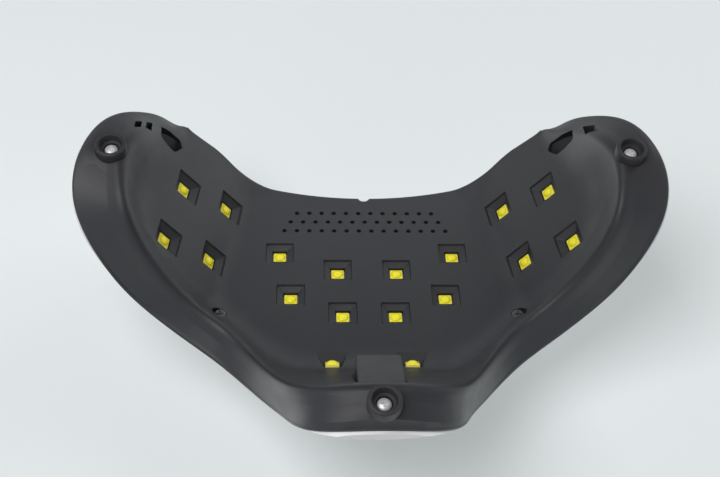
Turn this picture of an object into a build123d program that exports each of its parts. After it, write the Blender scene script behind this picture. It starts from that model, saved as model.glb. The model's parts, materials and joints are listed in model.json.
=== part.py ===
from build123d import *
import os
from math import atan, cos, radians, sin, sqrt, tan

os.makedirs("parts", exist_ok=True)

# LED nail lamp in its position of use, in millimetres: X to the right, Y to the back, Z up,
# feet on z = 0, hand opening at the front. Y is measured from the line through the two front
# feet, and every piece is moved back by frame_shift at the end, so that the origin lies under
# the middle of the lamp's box.
lamp_front = -43.0
lamp_back = 107.2
frame_shift = (lamp_front + lamp_back) / 2

# Outer form: arched sections from front to back (y, half width, height above dome_base).
dome_stations = [
    (-46.0, 77.8, 76.0), (-28.0, 88.7, 81.5), (-14.0, 98.8, 85.5), (0.0, 105.0, 88.0),
    (12.0, 106.8, 88.0), (24.0, 104.8, 86.5), (36.0, 95.6, 82.5), (48.0, 82.8, 78.5),
    (60.0, 69.0, 73.5), (72.0, 55.8, 66.5), (84.0, 44.4, 55.5), (96.0, 35.9, 36.5),
    (103.0, 30.2, 22.5), (lamp_back, 24.5, 13.5),
]
dome_base = 2.4
dome_fullness = 0.64
arch_front = -28.5
arch_radius = 135.0
front_corner_radius = 25.0

# Rim of the underside, right half, from the front corner round to the middle of the back:
# crest (x, y, z), seam with the cover (x, y, z), top of the inner wall (x, y).
rim_stations = [
    ((64.0, -53.0, 48.0), (65.5, -55.5, 48.5), (62.2, -52.0)),
    ((71.8, -40.2, 38.8), (73.0, -42.0, 39.0), (70.0, -39.0)),
    ((79.5, -27.0, 21.8), (86.3, -30.5, 16.4), (76.0, -25.0)),
    ((84.4, -11.0, 7.2), (98.6, -14.5, 4.2), (81.3, -10.0)),
    ((87.8, 3.0, 4.2), (105.6, 3.0, 3.9), (84.8, 3.0)),
    ((87.3, 17.5, 5.4), (105.8, 18.0, 11.4), (82.8, 14.0)),
    ((83.0, 29.0, 16.9), (96.0, 31.5, 29.8), (76.5, 21.0)),
    ((73.5, 36.2, 32.4), (84.0, 39.2, 43.8), (67.5, 27.5)),
    ((62.0, 42.0, 42.4), (69.0, 48.5, 51.2), (56.0, 34.5)),
    ((52.0, 50.0, 44.9), (57.0, 56.5, 54.4), (46.0, 43.5)),
    ((43.0, 63.0, 39.4), (47.0, 66.8, 52.4), (37.0, 54.0)),
    ((35.5, 77.0, 27.9), (39.5, 77.0, 46.2), (30.5, 59.5)),
    ((28.0, 89.0, 13.9), (31.0, 91.2, 33.0), (23.0, 61.5)),
    ((18.0, 93.4, 7.0), (23.0, 104.0, 16.2), (14.0, 61.5)),
    ((0.0, 93.8, 5.4), (0.0, lamp_back, 11.1), (0.0, 61.5)),
]
rim_end_outline = [(60.0, -60.0), (95.0, -60.0), (80.0, -41.0), (66.0, -36.5), (60.0, -36.5)]
strip_reach = 12.0
wall_reach_up = 6.0
wall_reach_down = 3.0

# Ceiling of the hand space: a middle plate falling to the back and two steep wings.
plate_height = 62.1
plate_fall = 0.181
wing_angle = radians(47.7)
wing_reach = 80.12
bend_radius = 30.0
plate_slope = atan(plate_fall)

# Walls and the stepped joint between the two shells.
shell_wall = 3.3
cover_wall = 2.2
edge_lip = 1.2

# Block in the rear wall that makes room for the power inlet.
block_half = 8.0
block_proud = 3.7

# LEDs and their pockets. Each place is (x, y) on the underside, right half.
centre_places = [(34.2, 3.7), (11.5, 12.8), (29.7, 26.0), (10.0, 35.1)]
wing_places = [(69.7, -14.0), (54.2, -17.1), (74.9, 14.3), (59.4, 11.7)]
wing_turn = radians(11.0)
rear_place = (14.5, 61.7, 50.5)
rear_tilt = radians(48.0)
pocket_opening = 11.0
wing_pocket_opening = 12.0
rear_pocket_depth = 1.3
rear_pocket_taper = radians(38.0)
pocket_taper = radians(53.7)
led_side = 5.0
led_height = 1.6
led_dome_radius = 2.1
led_dome_height = 0.9
led_clearance = 0.55
board_gap = 4.3
board_thickness = 1.6
pad_margin = 1.5

# Vents, sensor notch, slots and recesses of the underside.
vent_radius = 0.95
vent_pitch = 5.0
vent_rows = [(-19.1, 12), (-14.0, 13), (-8.9, 14)]
notch_radius = 2.3
window_centre = (84.2, -19.3)
window_width = 3.4
window_length = 6.8
window_post = 1.2
window_turn = 10.0
window_top = 16.5
recess_outline = [(77.0, -34.4), (77.0, -29.0), (74.0, -26.4), (72.0, -31.2), (74.0, -34.2)]
recess_depth = 1.8
recess_floor = 1.1
recess_wall = 1.2
recess_sunk = -12.0

# Feet and screws.
foot_places = [(-93.2, 0.0), (93.2, 0.0), (0.0, 101.5)]
foot_radius = 5.6
foot_height = 4.2
foot_mouth_radius = 4.15
foot_bore_radius = 2.65
foot_bore_depth = 2.6
foot_seat_gap = 0.15
screw_radius = 1.45
screw_clearance = 0.15
pilot_clearance = 0.05
screw_head_radius = 2.35
screw_head_height = 1.7
foot_screw_length = 15.0
boss_radius = 4.0
side_screw_place = (56.0, 37.0)
side_seat_z = 55.2
side_counterbore = 2.75
side_boss_top = 57.6
side_screw_length = 13.0
small_screw_radius = 1.1
small_head_radius = 2.0
small_head_height = 1.3
small_boss_radius = 2.8

# Control panel in the top.
panel_centre_y = 8.0
panel_length = 66.0
panel_width = 40.0
panel_corner = 9.0
panel_thickness = 1.0
panel_gap = 0.1
button_pitch = 13.0
button_count = 4
button_y = -2.5
button_radius = 4.5
button_clearance = 0.25
button_proud = 0.6
button_travel = 0.5
flange_radius = 5.6
flange_height = 1.0
guide_radius = 6.1
guide_end_z = 83.0
flange_gap = 0.05
window_y = 15.5
display_length = 26.0
display_width = 12.0
display_corner = 2.0
display_ledge = 1.2
module_height = 10.5
control_board_size = (60.0, 36.0)
control_board_y = 8.0
control_board_top = 75.5
control_screw_places = [(-27.2, -7.2), (27.2, -7.2), (-27.2, 23.2), (27.2, 23.2)]
switch_side = 6.0
switch_height = 3.5
plunger_radius = 1.7
plunger_clearance = 0.05
plunger_sunk = 0.8

# Driver board at the back, above the rear wall.
driver_board_size = (56.0, 18.0)
driver_board_y = 54.5
driver_board_z = 61.5
driver_screw_places = [(-24.5, 48.5), (24.5, 48.5), (-24.5, 60.5), (24.5, 60.5)]

# Power inlet at the back of the chin.
inlet_z = 30.0
inlet_face_y = 97.5
inlet_wall = 1.8
inlet_spot_radius = 5.5
inlet_boss_radius = 7.5
inlet_hole_radius = 4.2
jack_nose_radius = 4.0
jack_width = 9.0
jack_height = 11.0
jack_depth = 14.0
jack_bore_radius = 3.15
jack_bore_depth = 9.5
jack_pin_radius = 1.05
jack_pin_length = 8.5
jack_clearance = 0.15
sleeve_wall = 1.2
sleeve_depth = 7.0

# Hand sensor behind the front edge, and the leads.
sensor_radius = 1.8
sensor_y = -25.6
sensor_z = 70.5
sensor_length = 7.0
sensor_groove_clearance = 0.1
sensor_board_size = (10.0, 1.2, 9.0)
lead_radius = 0.7
lead_bend = 1.9


def plate_z(y, grow=0.0):
    return plate_height - plate_fall * y + grow / cos(plate_slope)


def wing_z(x, grow=0.0):
    return (wing_reach + grow - sin(wing_angle) * abs(x)) / cos(wing_angle)


def box_at(low, high):
    size = [b - a for a, b in zip(low, high)]
    middle = [(a + b) / 2 for a, b in zip(low, high)]
    return Pos(*middle) * Box(*size)


def rod(x, y, low, high, radius):
    return Pos(x, y, (low + high) / 2) * Cylinder(radius, high - low)


def main_solid(shape):
    return max(shape.solids(), key=lambda solid: solid.volume)


def arch_wire(y, half_width, height):
    base = Vector(0, y, dome_base)
    side = Vector(half_width, 0, 0)
    top = Vector(0, 0, height)
    left = [base - side, base - side + top * dome_fullness, base + top - side * dome_fullness, base + top]
    right = [base + top, base + top + side * dome_fullness, base + side + top * dome_fullness, base + side]
    floor_line = Edge.make_line(base + side, base - side)
    return Wire([Edge.make_bezier(*left), Edge.make_bezier(*right), floor_line])


def dome(grow=0.0):
    sections = []
    last = len(dome_stations) - 1
    for i, (y, half_width, height) in enumerate(dome_stations):
        end_shift = grow if i == last else 0.0
        sections.append(arch_wire(y + end_shift, half_width + grow, height + grow))
    return Solid.make_loft(sections)


def front_cutter(grow=0.0):
    # everything in front of the concave arch and of the short straight runs beside it
    front = lamp_front + grow
    centre_y = arch_front - arch_radius
    radius = arch_radius + grow
    corner_x = sqrt(radius ** 2 - (front - centre_y) ** 2)
    far = 120.0
    outline = [
        Line((-far, front), (-corner_x, front)),
        ThreePointArc((-corner_x, front), (0, arch_front + grow), (corner_x, front)),
        Line((corner_x, front), (far, front)),
        Polyline((far, front), (far, front - far), (-far, front - far), (-far, front)),
    ]
    region = make_face(Curve() + outline)
    corners = [v for v in region.vertices() if abs(abs(v.X) - corner_x) < 1 and abs(v.Y - front) < 1]
    region = fillet(corners, front_corner_radius - grow)
    return Pos(0, 0, -10) * extrude(region, amount=120)


def ceiling(grow=0.0):
    # space under the plate and the two wings, with the bends between them rounded
    foot_z = -10.0
    foot_x = (wing_reach + grow - cos(wing_angle) * foot_z) / sin(wing_angle)
    tent = make_face(Polyline((-foot_x, foot_z), (foot_x, foot_z), (0, wing_z(0, grow)), close=True))
    tent = extrude(Plane.XZ.offset(60) * tent, amount=-190)
    lid = Plane(origin=(0, 0, plate_z(0, grow)), x_dir=(1, 0, 0), z_dir=(0, sin(plate_slope), cos(plate_slope)))
    tent = tent - lid * Box(300, 400, 200, align=(Align.CENTER, Align.CENTER, Align.MIN))
    ridge_z = plate_z(35, grow)
    bends = [e for e in tent.edges() if abs((e @ 0.5).Z - ridge_z) < 4 and abs((e @ 0.5).X) > 20]
    return fillet(bends, bend_radius + grow)


def both_sides(points):
    left = [Vector(-p.X, p.Y, p.Z) for p in points[:-1]]
    return left + points[::-1]


rim_crest = both_sides([Vector(*crest) for crest, seam, top in rim_stations])
rim_seam = both_sides([Vector(*seam) for crest, seam, top in rim_stations])
rim_top = both_sides([Vector(x, y, min(plate_z(y), wing_z(x))) for crest, seam, (x, y) in rim_stations])


def rim_strips(grow):
    # sections of the two strips of the rim: the band outside the crest and the wall inside it
    last = len(rim_crest) - 1
    bands, walls = [], []
    for i, (crest, seam, top) in enumerate(zip(rim_crest, rim_seam, rim_top)):
        run = rim_crest[min(i + 1, last)] - rim_crest[max(i - 1, 0)]
        across = seam - crest
        rise = top - crest
        band_out = run.cross(across).normalized()
        if band_out.Z < 0:
            band_out = band_out * -1
        wall_out = run.cross(rise).normalized()
        if wall_out.dot(across) < 0:
            wall_out = wall_out * -1
        reach = strip_reach / Vector(across.X, across.Y, 0).length
        bands.append((crest - across * 0.3 + band_out * grow, seam + across * reach + band_out * grow))
        above = max(0.25, wall_reach_up / rise.length)
        below = max(0.4, wall_reach_down / rise.length)
        walls.append((top + rise * above + wall_out * grow, crest - rise * below + wall_out * grow))
    return bands, walls


def strip_solid(pairs, low=-20.0):
    sections = []
    for a, b in pairs:
        corners = [a, b, Vector(b.X, b.Y, low), Vector(a.X, a.Y, low)]
        sections.append(Wire.make_polygon(corners, close=True))
    return Solid.make_loft(sections)


def plan_prism(points, margin, low=-20.0, high=110.0):
    # upright prism over the plan of the points, moved outward by the margin
    last = len(points) - 1
    outer = []
    for i, point in enumerate(points):
        run = points[min(i + 1, last)] - points[max(i - 1, 0)]
        outward = Vector(run.Y, -run.X, 0).normalized()
        if outward.dot(Vector(point.X, point.Y - 20, 0)) < 0:
            outward = outward * -1
        outer.append(Vector(point.X, point.Y, low) + outward * margin)
    edge = Edge.make_spline(outer)
    return Solid.extrude(Face(Wire([edge, Edge.make_line(edge @ 1, edge @ 0)])), Vector(0, 0, high - low))


def inlet_block(grow):
    # block of the rear wall, bounded by a plane parallel to that wall
    crest = Vector(0, rim_stations[-1][0][1], rim_stations[-1][0][2])
    top = Vector(0, rim_stations[-1][2][1], plate_z(rim_stations[-1][2][1]))
    down = (crest - top).normalized()
    back = Vector(0, -down.Z, down.Y)
    face_point = top - back * (block_proud - grow)
    front_line = [face_point - down * 40, face_point + down * 80]
    profile = [front_line[0], front_line[1], front_line[1] + back * 60, front_line[0] + back * 60]
    face = Face(Wire.make_polygon(profile, close=True))
    half = block_half - grow
    block = Pos(-half, 0, 0) * Solid.extrude(face, Vector(2 * half, 0, 0))
    return block - box_at((-50, 0, -60), (50, 200, crest.Z + 0.6 + grow))


def rim_ends(grow):
    # the rim runs out into the wings in front of these outlines
    ends = []
    for side in (-1, 1):
        outline = make_face(Polyline([(side * x, y) for x, y in rim_end_outline], close=True))
        ends.append(Pos(0, 0, -20) * extrude(outline, amount=100) & ceiling(grow))
    return ends


def body_above(grow):
    # the whole body down to the underside moved up by grow
    bands, walls = rim_strips(grow)
    hollow = (plan_prism(rim_top, grow * 0.8) + strip_solid(walls)) & ceiling(grow)
    hollow = hollow - inlet_block(grow)
    return outer_body - strip_solid(bands) - hollow - rim_ends(grow)


outer_body = (dome() & plan_prism(rim_seam, 2.0)) - front_cutter()
above_underside = body_above(0.0)
above_lip = body_above(edge_lip)
above_shell = body_above(shell_wall)
cover_space = dome(-cover_wall) - front_cutter(cover_wall)


# Places of the LEDs: planes with their origin on the underside and Z into the lamp.
def plate_spot(x, y):
    return Plane(origin=(x, y, plate_z(y)), x_dir=(1, 0, 0), z_dir=(0, sin(plate_slope), cos(plate_slope)))


def wing_spot(side, x, y):
    outward = Vector(side * cos(wing_angle), 0, -sin(wing_angle))
    row = outward * cos(wing_turn) - Vector(0, 1, 0) * sin(wing_turn)
    return Plane(origin=(side * x, y, wing_z(x)), x_dir=row, z_dir=(side * sin(wing_angle), 0, cos(wing_angle)))


def rear_spot(side):
    x, y, z = rear_place
    return Plane(origin=(side * x, y, z), x_dir=(1, 0, 0), z_dir=(0, sin(rear_tilt), cos(rear_tilt)))


centre_spots = [plate_spot(side * x, y) for x, y in centre_places for side in (-1, 1)]
wing_spots = {side: [wing_spot(side, x, y) for x, y in wing_places] for side in (-1, 1)}
rear_spots = [rear_spot(side) for side in (-1, 1)]
led_hole = led_side + 2 * led_clearance


def square(side, z):
    return Wire.make_polygon([(-side / 2, -side / 2, z), (side / 2, -side / 2, z), (side / 2, side / 2, z),
                              (-side / 2, side / 2, z)], close=True)


def funnel(depth, taper=pocket_taper, outside=2.5):
    # tapered mouth that narrows to the LED hole at the named depth
    wide = led_hole + 2 * (outside + depth) * tan(taper)
    return Solid.make_loft([square(wide, -outside), square(led_hole, depth)], True)


def pocket(opening):
    depth = (opening - led_hole) / 2 / tan(pocket_taper)
    well = box_at((-led_hole / 2, -led_hole / 2, depth - 0.2), (led_hole / 2, led_hole / 2, board_gap + 3))
    return funnel(depth) + well


def rear_pocket():
    mouth = funnel(-0.2, rear_pocket_taper, rear_pocket_depth + 3.0)
    seat = box_at((-6.3, -4.8, 0), (6.3, 4.8, 8))
    return mouth + box_at((-led_hole / 2, -led_hole / 2, -0.3), (led_hole / 2, led_hole / 2, 0.5)) + seat


def wing_board_spot(side):
    x = sum(place[0] for place in wing_places) / len(wing_places)
    y = sum(place[1] for place in wing_places) / len(wing_places)
    return wing_spot(side, x, y)


centre_board_spot = plate_spot(0, 19.2)
centre_board_size = (84.0, 46.0)
wing_board_size = (35.0, 47.5)
centre_board_screws = [(0, -18.5), (-21, 17.5), (21, 17.5)]
wing_board_screws = [(0, -19.5), (-1, 19.5)]
led_board_spots = [(centre_board_spot, centre_board_size, centre_board_screws)]
led_board_spots += [(wing_board_spot(side), wing_board_size, wing_board_screws) for side in (-1, 1)]


# Base shell: the moulded underside.
def wall_additions(cover_skin):
    # foot pads, side screw bosses and recess floors, cut to the shape of the body and clear of the cover
    added = [rod(x, y, foot_height, foot_height + 12, foot_radius) - above_shell for x, y in foot_places]
    for side in (-1, 1):
        x, y = side_screw_place
        added.append(rod(side * x, y, side_seat_z - 4, side_boss_top, boss_radius + 0.6) & above_underside)
        added.append(recess(side, recess_wall, recess_sunk, recess_depth + recess_floor) & above_underside)
    return [piece - cover_skin for piece in added]


def board_supports():
    added = []
    for x, y in driver_screw_places:
        added.append(rod(x, y, plate_z(y, 1.0), driver_board_z, small_boss_radius))
    pad = led_hole / 2 + pad_margin
    for spot in centre_spots + wing_spots[-1] + wing_spots[1]:
        added.append(spot * box_at((-pad, -pad, 1.5), (pad, pad, board_gap)))
    for spot, size, screws in led_board_spots:
        added += [spot * rod(x, y, 1.5, board_gap, small_boss_radius) for x, y in screws]
    return added


def recess(side, margin, low, high):
    # prism square to the wing over an outline given in plan, moved outward by the margin
    normal = Vector(side * sin(wing_angle), 0, cos(wing_angle))
    points = [Vector(side * x, y, wing_z(x)) for x, y in recess_outline]
    middle = sum(points, Vector(0, 0, 0)) * (1 / len(points))
    wide = [p + (p - middle).normalized() * margin + normal * low for p in points]
    return Solid.extrude(Face(Wire.make_polygon(wide, close=True)), normal * (high - low))


def tip_windows():
    x, y = window_centre
    cuts = []
    half = window_length / 2
    post = window_post / 2
    for low, high in ((-half, -post), (post, half)):
        slot = box_at((low, -window_width / 2, 0), (high, window_width / 2, window_top))
        cuts.append(Pos(-x, y, 0) * Rot(0, 0, window_turn) * slot)
    slot = box_at((-half, -window_width / 2, 0), (post, window_width / 2, window_top))
    cuts.append(Pos(x, y, 0) * Rot(0, 0, -window_turn) * slot)
    return cuts


def base_cuts():
    cuts = [spot * pocket(pocket_opening) for spot in centre_spots]
    cuts += [spot * pocket(wing_pocket_opening) for side in (-1, 1) for spot in wing_spots[side]]
    cuts += [spot * rear_pocket() for spot in rear_spots]
    for y, count in vent_rows:
        for i in range(count):
            x = (i - (count - 1) / 2) * vent_pitch
            cuts.append(plate_spot(x, y) * rod(0, 0, -2, shell_wall + 2, vent_radius))
    cuts.append(plate_spot(0, arch_front) * rod(0, 0, -3, shell_wall + 2, notch_radius))
    cuts += tip_windows()
    hole = screw_radius + screw_clearance
    cuts += [rod(x, y, 0, 40, hole) for x, y in foot_places]
    cuts += [rod(x, y, -5, foot_height, foot_radius + foot_seat_gap) for x, y in foot_places]
    for side in (-1, 1):
        x, y = side_screw_place
        cuts.append(rod(side * x, y, side_seat_z - 20, side_seat_z, side_counterbore))
        cuts.append(rod(side * x, y, side_seat_z - 1, side_seat_z + 10, hole))
        cuts.append(recess(side, 0, -3, recess_depth))
    pilot = small_screw_radius + pilot_clearance
    for x, y in driver_screw_places:
        cuts.append(rod(x, y, driver_board_z - 6, driver_board_z + 5, pilot))
    for spot, size, screws in led_board_spots:
        cuts += [spot * rod(x, y, board_gap - 3.2, board_gap + 4, pilot) for x, y in screws]
    return cuts


def make_base_shell(cover_skin):
    shell = main_solid(above_underside - above_shell - cover_skin)
    return main_solid(shell + wall_additions(cover_skin) + board_supports() - base_cuts())


# Top cover: a thin dome with its bosses.
def panel_outline(length, width, corner, y):
    return Pos(0, y, 60) * extrude(RectangleRounded(length, width, corner), amount=60)


def button_x(i):
    return (i - (button_count - 1) / 2) * button_pitch


def make_cover_skin():
    return main_solid(above_lip - cover_space)


def make_top_cover(cover_skin):
    bosses = []
    for x, y in foot_places:
        bosses.append(rod(x, y, 0, 95, boss_radius) & above_shell)
    for side in (-1, 1):
        x, y = side_screw_place
        bosses.append(rod(side * x, y, side_boss_top, 95, boss_radius) & above_shell)
    for x, y in control_screw_places:
        bosses.append(rod(x, y, control_board_top, 95, small_boss_radius) & above_shell)
    for i in range(button_count):
        bosses.append(rod(button_x(i), button_y, guide_end_z, 95, guide_radius) & above_shell)
    jack_front = inlet_face_y - inlet_wall
    boss_plane = Plane(origin=(0, jack_front, inlet_z), x_dir=(1, 0, 0), z_dir=(0, 1, 0))
    bosses.append(boss_plane * Cylinder(inlet_boss_radius, 20, align=(Align.CENTER, Align.CENTER, Align.MIN)) & above_shell)
    sleeve = box_at((-jack_width / 2 - jack_clearance - sleeve_wall, jack_front - sleeve_depth,
                     inlet_z - jack_height / 2 - jack_clearance - sleeve_wall),
                    (jack_width / 2 + jack_clearance + sleeve_wall, jack_front + 1,
                     inlet_z + jack_height / 2 + jack_clearance + sleeve_wall))
    bosses.append(sleeve & above_shell)
    cover = cover_skin + bosses

    cuts = []
    hole = screw_radius + pilot_clearance
    for x, y in foot_places:
        cuts.append(rod(x, y, 0, foot_height + foot_screw_length + 1, hole))
    for side in (-1, 1):
        x, y = side_screw_place
        cuts.append(rod(side * x, y, side_seat_z, side_seat_z + side_screw_length + 1, hole))
    for x, y in control_screw_places:
        cuts.append(rod(x, y, control_board_top - 1, control_board_top + 8, small_screw_radius + pilot_clearance))
    recess_tool = panel_outline(panel_length, panel_width, panel_corner, panel_centre_y)
    cuts.append(recess_tool - dome(-panel_thickness))
    cuts.append(panel_outline(display_length - 2 * display_ledge, display_width - 2 * display_ledge,
                              display_corner, window_y))
    for i in range(button_count):
        cuts.append(rod(button_x(i), button_y, guide_end_z - 1, 100, button_radius + button_clearance))
    front = Align.CENTER, Align.CENTER, Align.MIN
    face_plane = Plane(origin=(0, inlet_face_y, inlet_z), x_dir=(1, 0, 0), z_dir=(0, 1, 0))
    cuts.append(face_plane * Cylinder(inlet_spot_radius, 20, align=front))
    cuts.append(face_plane.offset(-inlet_wall - 1) * Cylinder(inlet_hole_radius, 20, align=front))
    cuts.append(box_at((-jack_width / 2 - jack_clearance, jack_front - 30, inlet_z - jack_height / 2 - jack_clearance),
                       (jack_width / 2 + jack_clearance, jack_front, inlet_z + jack_height / 2 + jack_clearance)))
    cuts.append(rod(0, sensor_y, sensor_z - 6, sensor_z + sensor_length + 0.5, sensor_radius + sensor_groove_clearance))
    return main_solid(cover - cuts)


# Control panel, buttons, display and their board.
def make_panel():
    plate = dome() & panel_outline(panel_length - 2 * panel_gap, panel_width - 2 * panel_gap,
                                   panel_corner - panel_gap, panel_centre_y)
    plate = plate - dome(-panel_thickness)
    plate = plate - panel_outline(display_length, display_width, display_corner, window_y)
    holes = [rod(button_x(i), button_y, 60, 100, button_radius + button_clearance) for i in range(button_count)]
    return main_solid(plate - holes)


def make_display_window():
    lens = dome() & panel_outline(display_length - 2 * panel_gap, display_width - 2 * panel_gap,
                                  display_corner - panel_gap, window_y)
    return main_solid(lens - dome(-panel_thickness))


def make_button_cap(i):
    x = button_x(i)
    flange_top = guide_end_z - flange_gap
    cap = rod(x, button_y, flange_top - 0.5, 100, button_radius) & dome(button_proud)
    rim = cap.edges().sort_by(Axis.Z)[-1]
    cap = fillet(rim, 0.5)
    return cap + rod(x, button_y, flange_top - flange_height, flange_top, flange_radius)


def make_plunger(i):
    cap_bottom = guide_end_z - flange_gap - flange_height
    housing_top = control_board_top + switch_height
    return rod(button_x(i), button_y, housing_top - plunger_sunk, cap_bottom, plunger_radius)


def make_switch_housing(i):
    x = button_x(i)
    half = switch_side / 2
    top = control_board_top + switch_height
    housing = box_at((x - half, button_y - half, control_board_top), (x + half, button_y + half, top))
    housing = chamfer(housing.edges().filter_by(Axis.Z), 0.6)
    well = rod(x, button_y, top - plunger_sunk - button_travel - 0.2, top + 1, plunger_radius + plunger_clearance)
    return housing - well


def make_control_board():
    length, width = control_board_size
    board = Pos(0, control_board_y, control_board_top - board_thickness) * extrude(
        RectangleRounded(length, width, 2.0), amount=board_thickness)
    hole = small_screw_radius + screw_clearance
    return board - [rod(x, y, 60, 90, hole) for x, y in control_screw_places]


def make_display_module():
    length = display_length - 3.0
    width = display_width - 1.0
    block = box_at((-length / 2, window_y - width / 2, control_board_top),
                   (length / 2, window_y + width / 2, control_board_top + module_height))
    return chamfer(block.edges().group_by(Axis.Z)[-1], 0.4)


def screw(seat, length, radius, head_radius, head_height):
    # screw on a plane: the head under the seat, the shank into +Z
    head = Pos(0, 0, -head_height) * Cylinder(head_radius, head_height, align=(Align.CENTER, Align.CENTER, Align.MIN))
    head = chamfer(head.edges().group_by(Axis.Z)[0], head_height * 0.3)
    drive = Pos(0, 0, -head_height - 0.1) * (
        Box(head_radius * 1.1, head_radius * 0.25, head_height * 1.1) + Box(head_radius * 0.25, head_radius * 1.1,
                                                                        head_height * 1.1))
    shank = Cylinder(radius, length, align=(Align.CENTER, Align.CENTER, Align.MIN))
    tip = shank.edges().group_by(Axis.Z)[-1]
    shank = chamfer(tip, radius * 0.5)
    return seat * (head + shank - drive)


def flat_plane(x, y, z, down=False):
    return Plane(origin=(x, y, z), x_dir=(1, 0, 0), z_dir=(0, 0, -1 if down else 1))


# LED boards and LEDs.
def make_led_board(spot, size, screws):
    board = Pos(0, 0, board_gap) * extrude(RectangleRounded(size[0], size[1], 4.0), amount=board_thickness)
    hole = small_screw_radius + screw_clearance
    board = board - [rod(x, y, 0, 10, hole) for x, y in screws]
    return spot * board


def make_led(spot, base_z):
    half = led_side / 2
    package = box_at((-half, -half, base_z - led_height), (half, half, base_z))
    package = chamfer(package.edges().filter_by(Axis.Z), 0.4)
    ball_radius = (led_dome_radius ** 2 + led_dome_height ** 2) / 2 / led_dome_height
    ball_z = base_z - led_height - led_dome_height + ball_radius
    ball = Pos(0, 0, ball_z) * Sphere(ball_radius)
    cap = ball & box_at((-half, -half, base_z - led_height - 3), (half, half, base_z - led_height + 0.1))
    return spot * (package + cap)


def make_rear_board(spot):
    return spot * box_at((-6.0, -4.5, 0), (6.0, 4.5, board_thickness))


# Driver board with its parts.
def make_driver_board():
    length, width = driver_board_size
    board = Pos(0, driver_board_y, driver_board_z) * extrude(RectangleRounded(length, width, 1.5), amount=board_thickness)
    hole = small_screw_radius + screw_clearance
    return board - [rod(x, y, 50, 80, hole) for x, y in driver_screw_places]


def make_driver_components():
    top = driver_board_z + board_thickness
    y = driver_board_y
    choke = rod(-15, y, top, top + 5.0, 4.5)
    choke = choke - Pos(-15, y, top + 2.5) * (Cylinder(6, 2.4) - Cylinder(3.4, 2.4))
    capacitor = fillet(rod(16, y - 0.5, top, top + 6.0, 3.15).edges().group_by(Axis.Z)[-1], 0.6)
    controller = box_at((3.0, y - 2.5, top), (9.0, y + 2.5, top + 1.5))
    controller = chamfer(controller.edges().group_by(Axis.Z)[-1], 0.3)
    transistor = box_at((-6.5, y - 3.0, top), (-0.5, y + 3.0, top + 2.2))
    transistor = chamfer(transistor.edges().group_by(Axis.Z)[-1], 0.3)
    return [choke, capacitor, controller, transistor]


# Power inlet, feet, sensor.
def make_jack():
    front = inlet_face_y - inlet_wall
    plane = Plane(origin=(0, front, inlet_z), x_dir=(1, 0, 0), z_dir=(0, -1, 0))
    inward = Align.CENTER, Align.CENTER, Align.MIN
    body = plane * Box(jack_width, jack_height, jack_depth, align=inward)
    body = chamfer(body.edges().filter_by(Axis.Y), 0.8)
    nose = plane.offset(-inlet_wall) * Cylinder(jack_nose_radius, inlet_wall + 0.5, align=inward)
    bore = plane.offset(-inlet_wall) * Cylinder(jack_bore_radius, jack_bore_depth, align=inward)
    pin_hole = plane.offset(-inlet_wall) * Cylinder(jack_pin_radius, jack_bore_depth + 1.5, align=inward)
    return body + nose - bore - pin_hole


def make_jack_pin():
    plane = Plane(origin=(0, inlet_face_y, inlet_z), x_dir=(1, 0, 0), z_dir=(0, -1, 0))
    end = jack_bore_depth + 1.5
    start = jack_bore_depth - jack_pin_length
    pin = plane.offset(start) * Cylinder(jack_pin_radius, end - start, align=(Align.CENTER, Align.CENTER, Align.MIN))
    return fillet(pin.edges().sort_by(Axis.Y)[-1], jack_pin_radius * 0.6)


def make_foot(x, y):
    profile = Polyline((foot_mouth_radius, 0), (foot_radius - 0.5, 0), (foot_radius, 0.5), (foot_radius, foot_height),
                       (foot_bore_radius, foot_height), (foot_bore_radius, foot_bore_depth), close=True)
    ring = revolve(Plane.XZ * make_face(profile), Axis.Z)
    return Pos(x, y, 0) * ring


def make_sensor():
    body = rod(0, sensor_y, sensor_z, sensor_z + sensor_length, sensor_radius)
    return fillet(body.edges().sort_by(Axis.Z)[0], sensor_radius * 0.8)


def make_sensor_board():
    length, thick, high = sensor_board_size
    front = sensor_y + sensor_radius
    low = plate_z(front + thick, shell_wall) + 0.15
    low = max(low, plate_z(front, shell_wall) + 0.15)
    return box_at((-length / 2, front, low), (length / 2, front + thick, low + high))


def make_lead(points):
    path = FilletPolyline(*points, radius=lead_bend)
    section = Plane(origin=path @ 0, z_dir=path % 0) * Circle(lead_radius)
    return sweep(section, path=path)


def make_leads():
    board_top = driver_board_z + board_thickness
    jack_top = inlet_z + jack_height / 2
    leads = []
    for side in (-1, 1):
        leads.append(make_lead([(side * 2, 85, jack_top), (side * 2, 85, 43), (side * 2, 76, 59),
                                (side * 2, 67, 67.5), (side * 2, 61, 67.5), (side * 2, 61, board_top)]))
        spot = wing_board_spot(side)
        end = spot.from_local_coords(Vector(-14.0, 15.0, board_gap + board_thickness))
        above = spot.from_local_coords(Vector(-14.0, 15.0, board_gap + board_thickness + 5))
        leads.append(make_lead([tuple(end), tuple(above), (side * 47, 32, 69), (side * 26, 53.5, 68.5),
                                (side * 26, 53.5, board_top)]))
    led_board_top = plate_z(38.5, board_gap + board_thickness) + lead_radius * plate_fall + 0.05
    leads.append(make_lead([(12, 48, board_top), (12, 48, 68), (12, 39, 66), (12, 38.5, led_board_top)]))
    control_low = control_board_top - board_thickness
    leads.append(make_lead([(-12, 48, board_top), (-12, 48, 67.5), (-12, 21, 70), (-12, 21, control_low)]))
    return leads


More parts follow.
